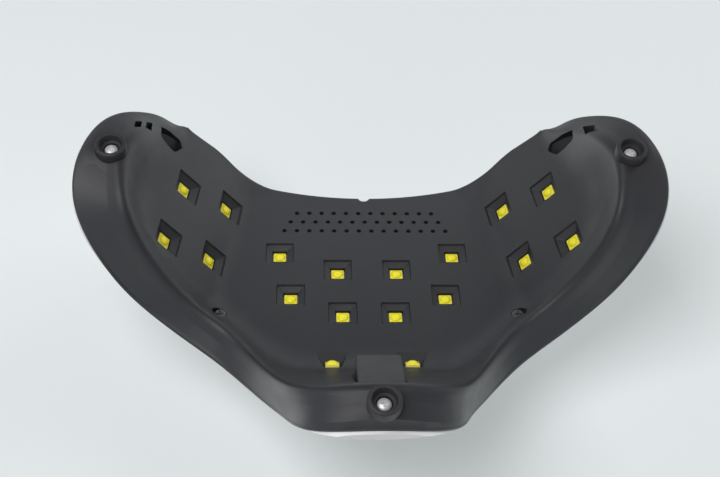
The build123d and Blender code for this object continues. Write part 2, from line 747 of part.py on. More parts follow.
cover_skin = make_cover_skin()
print("shell forms made")
pieces = {
    "base_shell": make_base_shell(cover_skin),
    "top_cover": make_top_cover(cover_skin),
    "control_panel": make_panel(),
    "display_window": make_display_window(),
    "display_module": make_display_module(),
    "switch_housings": [make_switch_housing(i) for i in range(button_count)],
    "control_board": make_control_board(),
    "control_board_screws": [screw(flat_plane(x, y, control_board_top - board_thickness), 7.5, small_screw_radius,
                                   small_head_radius, small_head_height) for x, y in control_screw_places],
    "driver_board": make_driver_board(),
    "driver_components": make_driver_components(),
    "driver_board_screws": [screw(flat_plane(x, y, driver_board_z + board_thickness, True), 6.5, small_screw_radius,
                                  small_head_radius, small_head_height) for x, y in driver_screw_places],
    "centre_led_board": make_led_board(*led_board_spots[0]),
    "left_led_board": make_led_board(*led_board_spots[1]),
    "right_led_board": make_led_board(*led_board_spots[2]),
    "rear_led_boards": [make_rear_board(spot) for spot in rear_spots],
    "centre_leds": [make_led(spot, board_gap) for spot in centre_spots],
    "left_leds": [make_led(spot, board_gap) for spot in wing_spots[-1]],
    "right_leds": [make_led(spot, board_gap) for spot in wing_spots[1]],
    "rear_leds": [make_led(spot, 0.0) for spot in rear_spots],
    "hand_sensor": make_sensor(),
    "sensor_board": make_sensor_board(),
    "dc_jack": make_jack(),
    "jack_pin": make_jack_pin(),
    "rubber_feet": [make_foot(x, y) for x, y in foot_places],
    "foot_screws": [screw(flat_plane(x, y, foot_height), foot_screw_length, screw_radius, screw_head_radius,
                          screw_head_height) for x, y in foot_places],
    "side_screws": [screw(flat_plane(side * side_screw_place[0], side_screw_place[1], side_seat_z), side_screw_length,
                          screw_radius, screw_head_radius, screw_head_height) for side in (-1, 1)],
    "leads": make_leads(),
}
led_screws = []
for spot, size, screws in led_board_spots:
    seat = spot.offset(board_gap + board_thickness)
    for x, y in screws:
        turned = Plane(origin=seat.from_local_coords(Vector(x, y, 0)), x_dir=seat.x_dir, z_dir=seat.z_dir * -1)
        led_screws.append(screw(turned, board_thickness + 3.0, small_screw_radius, small_head_radius, small_head_height))
pieces["led_board_screws"] = led_screws
for i in range(button_count):
    pieces["button_cap_%d" % (i + 1)] = make_button_cap(i)
    pieces["switch_plunger_%d" % (i + 1)] = make_plunger(i)

for name, shape in pieces.items():
    shapes = shape if isinstance(shape, list) else [shape]
    solids = [solid for item in shapes for solid in item.solids()]
    moved = [Pos(0, -frame_shift, 0) * solid for solid in solids]
    piece = moved[0] if len(moved) == 1 else Compound(children=moved)
    export_step(piece, os.path.join("parts", name + ".step"))
    print(name, len(solids), "solids", round(sum(solid.volume for solid in solids)))
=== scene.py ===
import json
from math import acos, cos, pi, radians, sin, sqrt, tan

import bmesh
import bpy
import numpy as np
from mathutils import Matrix, Vector
from mathutils.bvhtree import BVHTree


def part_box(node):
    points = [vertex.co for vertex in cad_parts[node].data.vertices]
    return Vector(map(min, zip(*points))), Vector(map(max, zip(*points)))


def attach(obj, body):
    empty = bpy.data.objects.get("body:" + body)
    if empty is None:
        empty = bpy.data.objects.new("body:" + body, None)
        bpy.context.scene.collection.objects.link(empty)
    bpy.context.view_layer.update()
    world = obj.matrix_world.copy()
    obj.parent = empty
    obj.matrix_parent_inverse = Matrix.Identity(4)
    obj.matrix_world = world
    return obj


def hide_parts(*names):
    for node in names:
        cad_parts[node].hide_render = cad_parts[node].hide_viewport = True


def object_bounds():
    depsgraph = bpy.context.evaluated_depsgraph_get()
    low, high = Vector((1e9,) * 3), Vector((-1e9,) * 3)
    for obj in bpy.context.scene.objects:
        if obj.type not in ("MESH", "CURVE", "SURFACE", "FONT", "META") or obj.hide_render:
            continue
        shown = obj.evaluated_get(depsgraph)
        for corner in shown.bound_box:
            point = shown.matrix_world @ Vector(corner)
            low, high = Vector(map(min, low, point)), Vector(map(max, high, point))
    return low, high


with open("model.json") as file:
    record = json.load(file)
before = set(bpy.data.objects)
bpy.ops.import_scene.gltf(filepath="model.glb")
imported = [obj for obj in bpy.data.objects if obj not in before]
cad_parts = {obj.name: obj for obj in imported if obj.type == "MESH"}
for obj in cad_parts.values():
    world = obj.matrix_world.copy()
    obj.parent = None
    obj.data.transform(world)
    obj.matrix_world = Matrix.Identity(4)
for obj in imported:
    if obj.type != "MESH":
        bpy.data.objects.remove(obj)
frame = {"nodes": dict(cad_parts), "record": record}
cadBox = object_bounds()
nodes = frame["nodes"]
print("frame loaded:", len(nodes), "nodes")

mm = 0.001
backShift = 32.1  # mm from the line through the two front feet to the frame's origin


# Materials. Each builder returns one node material.
def newMaterial(name):
    material = bpy.data.materials.new(name)
    material.use_nodes = True
    tree = material.node_tree
    return material, tree, tree.nodes["Principled BSDF"]


def addNode(tree, kind, **values):
    node = tree.nodes.new(kind)
    for name, value in values.items():
        if name in node.inputs:
            node.inputs[name].default_value = value
        else:
            setattr(node, name, value)
    return node


def noise(tree, scale, detail=3.0):
    # object coordinates, so that the grain stays put when a piece moves
    place = addNode(tree, "ShaderNodeTexCoord")
    texture = addNode(tree, "ShaderNodeTexNoise", Scale=scale, Detail=detail, Roughness=0.55)
    tree.links.new(place.outputs["Object"], texture.inputs["Vector"])
    return texture.outputs["Fac"]


def spread(tree, source, low, high):
    ramp = addNode(tree, "ShaderNodeMapRange")
    ramp.inputs["From Min"].default_value = 0.3
    ramp.inputs["From Max"].default_value = 0.7
    ramp.inputs["To Min"].default_value = low
    ramp.inputs["To Max"].default_value = high
    tree.links.new(source, ramp.inputs["Value"])
    return ramp.outputs["Result"]


def mixColours(tree, source, first, second):
    ramp = addNode(tree, "ShaderNodeMix", data_type="RGBA")
    ramp.inputs["A"].default_value = (*first, 1)
    ramp.inputs["B"].default_value = (*second, 1)
    tree.links.new(spread(tree, source, 0, 1), ramp.inputs["Factor"])
    return ramp.outputs["Result"]


def addBump(tree, shader, source, distance):
    bump = addNode(tree, "ShaderNodeBump", Strength=1.0, Distance=distance)
    tree.links.new(source, bump.inputs["Height"])
    tree.links.new(bump.outputs["Normal"], shader.inputs["Normal"])


# Scales of the noise in the finishes: slow changes of colour and gloss, and the fine marks on metal, with
# the depth of those marks in metres and the shade of the darker patches.
noiseScales = {"patches": 28.0, "gloss": 90.0, "metalPatches": 160.0, "metalMarks": 900.0}
metalMarkDepth = 0.00002
metalShade = 0.82


def mouldedPlastic(name, colour, shade, roughness, grainScale=2600.0, grainDepth=0.00004, coat=0.0):
    material, tree, shader = newMaterial(name)
    patches = noise(tree, noiseScales["patches"])
    grain = noise(tree, grainScale, 2.0)
    gloss = noise(tree, noiseScales["gloss"])
    tree.links.new(mixColours(tree, patches, colour, shade), shader.inputs["Base Color"])
    tree.links.new(spread(tree, gloss, *roughness), shader.inputs["Roughness"])
    shader.inputs["Coat Weight"].default_value = coat
    addBump(tree, shader, grain, grainDepth)
    return material


def satinMetal(name, colour, roughness, metallic=1.0):
    material, tree, shader = newMaterial(name)
    shade = [c * metalShade for c in colour]
    patches = noise(tree, noiseScales["metalPatches"])
    gloss = noise(tree, noiseScales["metalMarks"])
    marks = noise(tree, noiseScales["metalMarks"], 4.0)
    shader.inputs["Metallic"].default_value = metallic
    tree.links.new(mixColours(tree, patches, colour, shade), shader.inputs["Base Color"])
    tree.links.new(spread(tree, gloss, *roughness), shader.inputs["Roughness"])
    addBump(tree, shader, marks, metalMarkDepth)
    return material


# Each plastic has its colour, a shade of it for the patches, and its lowest and highest roughness.
finishes = {
    "shell_black": mouldedPlastic("charcoalShell", (0.0215, 0.0215, 0.026), (0.026, 0.026, 0.030),
                                  (0.38, 0.48)),
    "cover_white": mouldedPlastic("whiteCover", (0.80, 0.80, 0.80), (0.77, 0.77, 0.775), (0.16, 0.22),
                                  grainScale=1200.0, grainDepth=0.000006, coat=0.3),
    "panel_dark": mouldedPlastic("darkPanel", (0.022, 0.022, 0.026), (0.028, 0.028, 0.032), (0.08, 0.14),
                                 grainScale=1200.0, grainDepth=0.000004, coat=0.5),
    "window_smoke": mouldedPlastic("smokedWindow", (0.012, 0.012, 0.014), (0.016, 0.016, 0.02), (0.03, 0.06),
                                   grainScale=900.0, grainDepth=0.000002, coat=0.8),
    "component_black": mouldedPlastic("componentBlack", (0.028, 0.028, 0.028), (0.036, 0.036, 0.036),
                                      (0.4, 0.5)),
    "board_green": mouldedPlastic("boardGreen", (0.03, 0.16, 0.07), (0.02, 0.12, 0.05), (0.22, 0.32),
                                  grainScale=1500.0, grainDepth=0.00001),
    "board_aluminium": mouldedPlastic("boardWhite", (0.70, 0.70, 0.69), (0.64, 0.64, 0.62), (0.3, 0.4),
                                      grainScale=1500.0, grainDepth=0.00001),
    "led_yellow": mouldedPlastic("phosphorYellow", (0.95, 0.86, 0.018), (0.92, 0.80, 0.014), (0.3, 0.4),
                                 grainScale=2200.0, grainDepth=0.00001, coat=0.25),
    "foot_rubber": mouldedPlastic("footRubber", (0.024, 0.024, 0.027), (0.030, 0.030, 0.033), (0.5, 0.6),
                                  grainScale=2200.0, grainDepth=0.00003),
    "screw_steel": satinMetal("platedSteel", (0.75, 0.75, 0.74), (0.22, 0.34)),
    "button_grey": mouldedPlastic("buttonGrey", (0.52, 0.52, 0.54), (0.56, 0.56, 0.58), (0.32, 0.4)),
    "lead_red": mouldedPlastic("leadRed", (0.42, 0.03, 0.02), (0.36, 0.025, 0.02), (0.35, 0.45)),
}
slotOfNode = {row["node"]: row["material_slot"] for row in frame["record"]["subparts"]}
for name, node in nodes.items():
    node.data.materials.clear()
    node.data.materials.append(finishes[slotOfNode[name]])
# Darkened steel for the side screws: painted shade of their deep counterbores.
screwPaintedShade = satinMetal("steelPaintedShade", (0.20, 0.20, 0.20), (0.35, 0.5))
# Near-white, half-metallic zinc for the heads in the feet bores: zinc plating with a painted highlight that
# keeps them bright in the shade of the bores.
zincHeadPaintedHighlight = satinMetal("brightZincPaintedHighlight", (0.96, 0.96, 0.95), (0.3, 0.42), metallic=0.6)
caseShade = mouldedPlastic("ledCase", (0.86, 0.78, 0.16), (0.82, 0.72, 0.12), (0.3, 0.4),
                           grainScale=2200.0, grainDepth=0.00001)
print("finishes on the CAD pieces")


# Tools for the pieces. Sizes are in mm, with y counted from the line through the two front feet.
def placed(points):
    return (np.asarray(points, float) - (0, backShift, 0)) * mm


def lengthOf(vectors):
    return np.linalg.norm(vectors, axis=-1, keepdims=True)


def unit(vectors):
    vectors = np.asarray(vectors, float)
    return vectors / np.maximum(lengthOf(vectors), 1e-9)


def newPiece(name, points, faces):
    mesh = bpy.data.meshes.new(name)
    mesh.from_pydata(placed(points).tolist(), [], [tuple(int(i) for i in face) for face in faces])
    bm = bmesh.new()
    bm.from_mesh(mesh)
    bmesh.ops.recalc_face_normals(bm, faces=bm.faces)
    bm.to_mesh(mesh)
    bm.free()
    piece = bpy.data.objects.new(name, mesh)
    bpy.context.scene.collection.objects.link(piece)
    return piece


def dress(piece, slot, body="root", sharpAngle=38.0, replaced=()):
    piece.data.materials.clear()
    piece.data.materials.append(finishes[slot])
    piece.data.shade_smooth()
    piece.data.set_sharp_from_angle(angle=radians(sharpAngle))
    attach(piece, body)
    if replaced:
        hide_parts(*replaced)


def joined(parts):
    # one list of points and faces from several
    points, faces, start = [], [], 0
    for partPoints, partFaces in parts:
        points.append(np.asarray(partPoints, float))
        faces += [tuple(i + start for i in face) for face in partFaces]
        start += len(partPoints)
    return np.concatenate(points), faces


def loft(rings, endless=False):
    # closed skin through rings of points, with flat ends or joined to its own start
    size, count = len(rings[0]), len(rings)
    faces = []
    for k in range(count if endless else count - 1):
        a, b = k * size, (k + 1) % count * size
        faces += [(a + i, a + (i + 1) % size, b + (i + 1) % size, b + i) for i in range(size)]
    if not endless:
        faces.append(tuple(range(size))[::-1])
        faces.append(tuple(range((count - 1) * size, count * size)))
    return np.concatenate([np.asarray(ring, float) for ring in rings]), faces


def roundedOutline(corners, radii, steps=4):
    # closed outline with a round corner at each point
    corners = [np.array(corner, float) for corner in corners]
    outline = []
    for i, (corner, radius) in enumerate(zip(corners, radii)):
        inward, outward = unit(corner - corners[i - 1]), unit(corners[(i + 1) % len(corners)] - corner)
        reach = radius * tan(acos(min(1, max(-1, inward @ outward))) / 2)
        start, end = corner - inward * reach, corner + outward * reach
        for t in np.linspace(0, 1, steps + 1) if radius else [0]:
            outline.append(start * (1 - t) ** 2 + corner * 2 * t * (1 - t) + end * t ** 2)
    return np.array(outline)


def raised(outline, height):
    return np.column_stack([outline, np.full(len(outline), height)])


def roundedSquare(side, radius, height):
    half = side / 2
    corners = [(-half, -half), (half, -half), (half, half), (-half, half)]
    return raised(roundedOutline(corners, [radius] * 4), height)


def circle(radius, height, count=40):
    turn = np.linspace(0, 2 * pi, count, endpoint=False)
    return np.column_stack([radius * np.cos(turn), radius * np.sin(turn), np.full(count, height)])


def turned(profile, count=48, endless=False):
    # skin of revolution about Z through points of radius and height
    return loft([circle(radius, height, count) for radius, height in profile], endless)


def spot(origin, xDirection, zDirection):
    # place with its origin on the underside and Z into the lamp
    x, z = unit(xDirection), unit(zDirection)
    return np.array(origin, float), np.array([x, np.cross(z, x), z])


def atSpot(place, part):
    origin, axes = place
    points, faces = part
    return origin + np.asarray(points, float) @ axes, faces


def moved(part, x, y):
    points, faces = part
    return points + (x, y, 0), faces


def surfaceOf(mesh):
    # for ray casts onto a mesh
    bm = bmesh.new()
    bm.from_mesh(mesh)
    surface = BVHTree.FromBMesh(bm)
    bm.free()
    return surface


def applyBoolean(piece, tool, operation):
    modifier = piece.modifiers.new("boolean", "BOOLEAN")
    modifier.operation = operation
    modifier.solver = "EXACT"
    modifier.object = tool
    settled = piece.evaluated_get(bpy.context.evaluated_depsgraph_get())
    mesh = bpy.data.meshes.new_from_object(settled)
    piece.modifiers.clear()
    piece.data = mesh
    bpy.data.objects.remove(tool)


# Feet: moulded rubber rings with a round lip and a stepped mouth round the screw. Each sits in a seat of
# the shell.
foot = {
    "places": [(-93.2, 0.0), (93.2, 0.0), (0.0, 101.5)],
    "outer": 5.6, "height": 4.2, "lip": 1.0,
    "mouth": 4.1, "mouthLip": 0.45, "mouthTaper": 0.35, "seat": 2.65, "seatLip": 0.35, "seatEdge": 0.3,
    "bore": 2.7,
}


def footProfile():
    outer, height, mouth, bore, seat = (foot[key] for key in ("outer", "height", "mouth", "bore", "seat"))
    inside = mouth - foot["mouthTaper"]
    corners = [(outer, height), (outer, 0), (mouth, 0), (inside, seat), (bore, seat), (bore, height)]
    radii = [0, foot["lip"], foot["mouthLip"], foot["seatEdge"], foot["seatLip"], 0]
    return roundedOutline(corners, radii, 5)


# Underside of the lamp, right half, from the front corner round to the middle of the back: crest of the
# rim, seam with the cover (x, y, z) and top of the inner wall (x, y).
underside = {
    "stations": [
        ((64.0, -53.0, 48.0), (65.5, -55.5, 48.5), (62.2, -52.0)),
        ((71.8, -39.6, 38.8), (73.2, -41.2, 38.9), (70.0, -39.0)),
        ((75.7, -34.2, 30.6), (79.9, -37.6, 27.8), (73.2, -32.6)),
        ((79.5, -27.0, 21.8), (86.3, -30.5, 16.4), (76.0, -25.0)),
        ((84.4, -11.0, 7.2), (98.6, -14.5, 4.2), (81.3, -10.0)),
        ((87.8, 3.0, 4.2), (105.4, 3.0, 3.9), (84.8, 3.0)),
        ((87.3, 17.5, 5.4), (105.5, 18.0, 11.4), (82.8, 14.0)),
        ((83.0, 29.0, 16.9), (96.0, 31.5, 29.8), (76.5, 21.0)),
        ((73.5, 36.2, 32.4), (84.0, 39.2, 43.8), (67.5, 27.5)),
        ((62.0, 42.0, 42.4), (69.0, 48.5, 51.2), (56.0, 34.5)),
        ((52.0, 50.0, 44.9), (57.0, 56.5, 54.4), (46.0, 43.5)),
        ((43.0, 63.0, 39.4), (47.0, 66.8, 52.4), (37.0, 54.0)),
        ((35.5, 77.0, 27.9), (39.5, 77.0, 46.2), (30.5, 59.5)),
        ((28.0, 89.0, 13.9), (31.0, 91.2, 33.0), (23.0, 61.5)),
        ((18.0, 93.4, 7.0), (23.0, 104.0, 16.2), (14.0, 61.5)),
        ((0.0, 93.8, 5.4), (0.0, 107.2, 11.1), (0.0, 61.5)),
    ],
    # flat plate and two wings of the ceiling, and the radius of the bend between them, in front and behind
    "plateHeight": 62.1, "plateFall": 0.181, "wingAngle": radians(47.7), "wingReach": 80.12,
    "bendRadius": (30.0, 10.0), "bendFrom": 5.0, "bendFade": 13.0,
    # front edge: straight ends, round corners and an arch between them. The rim comes to it over a length.
    "frontLine": -43.0, "archFront": -28.5, "archRadius": 135.0, "cornerRadius": 25.0, "frontReach": 62.0,
    "fadeLength": 12.0,
    # rim: soft at the front and crisp behind, with a crease beside its crest
    "crispFrom": -20.0, "crispFade": 18.0, "crestRadius": (9.0, 4.2), "wallRadius": 24.0,
    "creaseOut": 6.2, "creaseDepth": 1.1, "creaseRadius": 3.0, "leastReach": 0.5,
    # most that the lip, the crease and the round corners may take of the stretches beside them
    "edgeShare": 0.4, "outShare": 0.42, "creaseShare": 0.34, "crestShare": 0.6, "wallShare": 0.46,
    # last straight row of the band, and how the ceiling starts at the inner wall
    "bandEnd": 0.88, "probe": 0.5, "ceilingReach": 40.0, "liftFade": 0.25,
    # grid and thickness of the skin
    "traceCount": 4001, "columns": 261,
    "rows": {"band": 7, "crease": 7, "crest": 11, "wall": 9, "ceiling": 34, "lip": 4},
    "lip": 1.2, "thickness": 4.2, "leastRise": 0.42, "edgeSpare": 0.1, "edgeSlope": 0.5,
    # mounds that carry the feet: height and spread of each, and how far from the seam they begin
    "mounds": [(2.0, 9.0, 9.0), (2.0, 9.0, 9.0), (5.0, 19.0, 10.0)], "moundFade": 1.0,
}


def smoothStep(value):
    value = np.clip(value, 0.0, 1.0)
    return value * value * (3 - 2 * value)


def ceilingHeight(x, y):
    # plate, wing and the round bend between them
    angle, (atFront, behind) = underside["wingAngle"], underside["bendRadius"]
    started = (y - underside["frontLine"] - underside["bendFrom"]) / underside["bendFade"]
    bend = behind + (atFront - behind) * (1 - smoothStep(started))
    plate = underside["plateHeight"] - underside["plateFall"] * y
    wing = (underside["wingReach"] - sin(angle) * np.abs(x)) / cos(angle)
    ridge = (underside["wingReach"] - plate * cos(angle)) / sin(angle)
    start = ridge - bend * tan(angle / 2)
    end = ridge + bend * tan(angle / 2) * cos(angle)
    arc = plate - bend + np.sqrt(np.maximum(bend ** 2 - (np.abs(x) - start) ** 2, 0))
    return np.where(np.abs(x) < start, plate, np.where(np.abs(x) < end, arc, wing))


def frontEdge(x, inset):
    # y of the front outline, moved back by the inset, at each x
    radius, corner = underside["archRadius"] + inset, underside["cornerRadius"] - inset
    line = underside["frontLine"] + inset
    centre = underside["archFront"] - underside["archRadius"]
    cornerX = sqrt((radius + corner) ** 2 - (line + corner - centre) ** 2)
    archEnd = cornerX * radius / (radius + corner)
    arch = centre + np.sqrt(np.maximum(radius ** 2 - x ** 2, 0))
    turn = line + corner - np.sqrt(np.maximum(corner ** 2 - (np.abs(x) - cornerX) ** 2, 0))
    return np.where(np.abs(x) < archEnd, arch, np.where(np.abs(x) < cornerX, turn, line))


def splineThrough(points, knots, places):
    # natural cubic spline through the rows of points, whose knots follow their spacing
    count = len(points)
    gaps = np.diff(knots)
    system = np.eye(count)
    bends = np.zeros_like(points)
    for i in range(1, count - 1):
        before, after = gaps[i - 1], gaps[i]
        system[i, i - 1:i + 2] = (before, 2 * (before + after), after)
        bends[i] = 6 * ((points[i + 1] - points[i]) / after - (points[i] - points[i - 1]) / before)
    bends = np.linalg.solve(system, bends)
    low = np.clip(np.searchsorted(knots, places, side="right") - 1, 0, count - 2)
    gap = gaps[low][:, None]
    b = (places - knots[low])[:, None] / gap
    a = 1 - b
    curved = ((a ** 3 - a) * bends[low] + (b ** 3 - b) * bends[low + 1]) * gap ** 2 / 6
    return a * points[low] + b * points[low + 1] + curved


def rimCurves():
    # crest, seam and wall top at evenly spaced columns, left front corner to right front corner
    half = [np.array([*crest, *seam, *top]) for crest, seam, top in underside["stations"]]
    flip = np.array([-1, 1, 1, -1, 1, 1, -1, 1])
    rows = np.array([row * flip for row in half[:-1]] + half[::-1])
    middle = (rows[:, :3] + rows[:, 3:6]) / 2
    knots = np.concatenate([[0], np.cumsum(np.linalg.norm(np.diff(middle, axis=0), axis=1))])
    fine = np.linspace(0, knots[-1], underside["traceCount"])
    curve = splineThrough(rows, knots, fine)
    line = underside["frontLine"] + underside["lip"]
    inside = np.nonzero(curve[:, 4] >= line)[0]
    fine, curve = fine[inside[0]:inside[-1] + 1], curve[inside[0]:inside[-1] + 1]
    steps = np.linalg.norm(np.diff(curve[:, 3:6], axis=0), axis=1)
    run = np.concatenate([[0], np.cumsum(steps)])
    even = np.interp(np.linspace(0, run[-1], underside["columns"]), run, fine)
    curve = splineThrough(rows, knots, even)
    run = np.linspace(0, run[-1], underside["columns"])
    ends = np.minimum(run, run[-1] - run)
    pull = (1 - smoothStep(ends / underside["fadeLength"]))[:, None]
    crest, seam = curve[:, 0:3].copy(), curve[:, 3:6].copy()
    top = np.column_stack([curve[:, 6:8], np.zeros(len(curve))])
    for points in (crest, top):
        points[:, 1:2] += pull * (line - points[:, 1:2])
    seam[[0, -1], 1] = line
    top[:, 2] = ceilingHeight(top[:, 0], top[:, 1])
    return crest, seam, top


def cornerPath(before, corner, after, radius, count, shareBefore, shareAfter):
    # round corner on a bent line, one for each column
    inward, outward = unit(corner - before), unit(after - corner)
    turn = np.arccos(np.clip((inward * outward).sum(1, keepdims=True), -1, 1))
    reach = np.maximum(radius * np.tan(turn / 2), underside["leastReach"])
    reach = np.minimum(reach, shareBefore * lengthOf(corner - before))
    reach = np.minimum(reach, shareAfter * lengthOf(after - corner))
    start, end = corner - inward * reach, corner + outward * reach
    rows = []
    for t in np.linspace(0, 1, count):
        rows.append(start * (1 - t) ** 2 + corner * 2 * t * (1 - t) + end * t ** 2)
    return rows


def rimRows(crest, seam, top, inner):
    # rows from the seam over the crest and down the inner wall to the ceiling
    count = underside["rows"]
    band = seam - crest
    flat, long = lengthOf(band[:, :2]), lengthOf(band)
    crisp = smoothStep((crest[:, 1:2] - underside["crispFrom"]) / underside["crispFade"])
    edge = seam - band * np.minimum(underside["lip"] / long, underside["edgeShare"])
    crease = crest + band * np.minimum(underside["creaseOut"] / flat, underside["outShare"])
    crease[:, 2:] += underside["creaseDepth"] * crisp
    atFront, behind = underside["crestRadius"]
    crestRadius = atFront + (behind - atFront) * crisp
    creaseRadius, wallRadius = underside["creaseRadius"], underside["wallRadius"]
    creaseShare, crestShare = underside["creaseShare"], underside["crestShare"]
    wallShare = underside["wallShare"]
    creaseCorner = cornerPath(edge, crease, crest, creaseRadius, count["crease"], wallShare, creaseShare)
    outward = np.linspace(0, underside["bandEnd"], count["band"])
    rows = [edge + (creaseCorner[0] - edge) * t for t in outward] + creaseCorner
    rows += cornerPath(crease, crest, top, crestRadius, count["crest"], crestShare, wallShare)
    wallCorner = cornerPath(crest, top, inner, wallRadius, count["wall"], wallShare, wallShare)
    last = rows[-1]
    rows += [last + (wallCorner[0] - last) * t for t in (0.25, 0.5, 0.75)]
    return rows + wallCorner


def ceilingRows(start, top, toFront, reach):
    # rows from the foot of the inner wall across the ceiling to the front edge
    done = lengthOf(start[:, :2] - top[:, :2])
    lift = start[:, 2] - ceilingHeight(start[:, 0], start[:, 1])
    count = underside["rows"]["ceiling"]
    rows = []
    for k in range(1, count + 1):
        share = k / count
        row = np.zeros_like(top)
        row[:, :2] = top[:, :2] + toFront[:, :2] * (done + (reach - done) * share)
        settled = 1 - smoothStep(share / underside["liftFade"])
        row[:, 2] = ceilingHeight(row[:, 0], row[:, 1]) + lift * settled
        rows.append(row)
    return rows


def distanceFromSeam(rows):
    # along each column
    steps = np.linalg.norm(np.diff(rows, axis=0, prepend=rows[:1]), axis=2)
    return np.cumsum(steps, axis=0)


def addMounds(rows):
    faded = smoothStep(distanceFromSeam(rows) / underside["moundFade"])
    for (x, y), (height, spreadX, spreadY) in zip(foot["places"], underside["mounds"]):
        away = ((rows[..., 0] - x) / spreadX) ** 2 + ((rows[..., 1] - y) / spreadY) ** 2
        rows[..., 2] -= height * np.exp(-away) * faded


def undersideRows():
    # rows of points from the seam over the rim and across the ceiling to the front edge
    crest, seam, top = rimCurves()
    frontX = np.linspace(-1, 1, len(crest)) * underside["frontReach"]
    front = np.column_stack([frontX, frontEdge(frontX, underside["lip"])])
    toFront = np.column_stack([unit(front - top[:, :2]), np.zeros(len(top))])
    probe = top + toFront * underside["probe"]
    probe[:, 2] = ceilingHeight(probe[:, 0], probe[:, 1])
    inner = top + unit(probe - top) * underside["ceilingReach"]
    rows = rimRows(crest, seam, top, inner)
    rows += ceilingRows(rows[-1], top, toFront, lengthOf(front - top[:, :2]))
    rows = np.array(rows)
    addMounds(rows)
    return rows


def skinThickness(rows):
    # upright thickness, thinner towards the edges
    normal = unit(np.cross(np.gradient(rows, axis=1), np.gradient(rows, axis=0)))
    rise = np.maximum(np.abs(normal[..., 2]), underside["leastRise"])
    fromSeam = distanceFromSeam(rows)
    fromFront = fromSeam[-1] - fromSeam
    fromSide = np.abs(rows[..., 1] - frontEdge(rows[..., 0], underside["lip"]))
    nearest = np.minimum(np.minimum(fromSeam, fromFront), fromSide)
    atEdge = underside["lip"] + underside["edgeSpare"]
    return np.minimum(underside["thickness"] / rise, atEdge + underside["edgeSlope"] * nearest)


def lipRings(border, reach, middle):
    # rings of a round lip, from the border of the underside out and up; the middle of the seam faces back
    tangent = np.roll(border, -1, axis=0) - np.roll(border, 1, axis=0)
    away = unit(np.column_stack([tangent[:, 1], -tangent[:, 0], np.zeros(len(border))]))
    if away[middle, 1] < 0:
        away = -away
    lip = underside["lip"]
    rings = []
    for turn in np.linspace(0, pi / 2, underside["rows"]["lip"] + 1)[1:]:
        rings.append(border + away * reach * lip * sin(turn) + np.array([0, 0, lip * (1 - cos(turn))]))
    return rings


def makeUnderside():
    rows = undersideRows()
    rowCount, columnCount = rows.shape[:2]
    upper = rows.copy()
    upper[..., 2] += skinThickness(rows)
    flatRows = rows.reshape(-1, 3)
    points = [flatRows, upper.reshape(-1, 3)]
    index = np.arange(rowCount * columnCount).reshape(rowCount, columnCount)
    count = rowCount * columnCount
    faces = []
    for i in range(rowCount - 1):
        for j in range(columnCount - 1):
            a, b, c, d = index[i, j], index[i, j + 1], index[i + 1, j + 1], index[i + 1, j]
            faces.append((a, b, c, d))
            faces.append((a + count, d + count, c + count, b + count))
    loop = list(index[0]) + list(index[1:, -1]) + list(index[-1, -2::-1]) + list(index[-2:0:-1, 0])
    slope = rows[0] - rows[1]
    reach = np.ones((len(loop), 1))
    reach[:columnCount] = lengthOf(slope[:, :2]) / lengthOf(slope)
    chain = [loop]
    start = 2 * count
    for ring in lipRings(flatRows[loop], reach, columnCount // 2):
        points.append(ring)
        chain.append(list(range(start, start + len(loop))))
        start += len(loop)
    chain.append([i + count for i in loop])
    for first, second in zip(chain[:-1], chain[1:]):
        for k in range(len(loop)):
            n = (k + 1) % len(loop)
            faces.append((first[k], second[k], second[n], first[n]))
    return newPiece("undersideShell", np.concatenate(points), faces)


# Places of the LEDs on the underside, right half.
ledPlaces = {
    "centre": [(34.2, 3.7), (11.5, 12.8), (29.7, 26.0), (10.0, 35.1)],
    "wing": [(69.7, -14.0), (54.2, -17.1), (74.9, 14.3), (59.4, 11.7)],
    "wingTurn": radians(11.0),
    "rear": (14.5, 61.7, 50.5),
    "rearTilt": radians(48.0),
}


def plateSpot(x, y):
    fall = underside["plateFall"]
    return spot((x, y, underside["plateHeight"] - fall * y), (1, 0, 0), (0, fall, 1))


def wingSpot(side, x, y):
    angle, turn = underside["wingAngle"], ledPlaces["wingTurn"]
    height = (underside["wingReach"] - sin(angle) * x) / cos(angle)
    outward = np.array([side * cos(angle), 0, -sin(angle)])
    row = outward * cos(turn) - np.array([0, 1, 0]) * sin(turn)
    return spot((side * x, y, height), row, (side * sin(angle), 0, cos(angle)))


def rearSpot(side):
    x, y, z = ledPlaces["rear"]
    tilt = ledPlaces["rearTilt"]
    return spot((side * x, y, z), (1, 0, 0), (0, sin(tilt), cos(tilt)))


sides = (-1, 1)
centreSpots = [plateSpot(side * x, y) for x, y in ledPlaces["centre"] for side in sides]
wingSpots = [wingSpot(side, x, y) for x, y in ledPlaces["wing"] for side in sides]
rearSpots = [rearSpot(side) for side in sides]


# Pockets of the LEDs: square mouths that narrow to the hole of the LED, with the well behind it.
pockets = {
    "hole": 5.8, "holeCorner": 0.3, "wellEnd": 7.5,
    "centre": {"opening": 11.0, "taper": radians(66.0)},
    "wing": {"opening": 11.4, "taper": radians(58.0)},
    "outside": 2.0, "flare": 1.0, "mouthCorner": 0.5,
    "step": {"inset": 0.3, "depth": 0.85, "corner": 0.4},
    "rear": {"taper": radians(38.0), "outside": 4.3, "depth": -0.2, "mouthCorner": 0.9, "holeCorner": 0.35},
}


def steppedPocket(opening, taper):
    hole, corner, step = pockets["hole"], pockets["mouthCorner"], pockets["step"]
    narrowed = opening - 2 * step["inset"]
    depth = step["depth"] + (opening / 2 - step["inset"] - hole / 2) / tan(taper)
    return loft([roundedSquare(opening + pockets["flare"], corner, -pockets["outside"]),
                 roundedSquare(opening, corner, 0),
                 roundedSquare(narrowed, step["corner"], step["depth"]),
                 roundedSquare(hole, pockets["holeCorner"], depth),
                 roundedSquare(hole, pockets["holeCorner"], pockets["wellEnd"])])


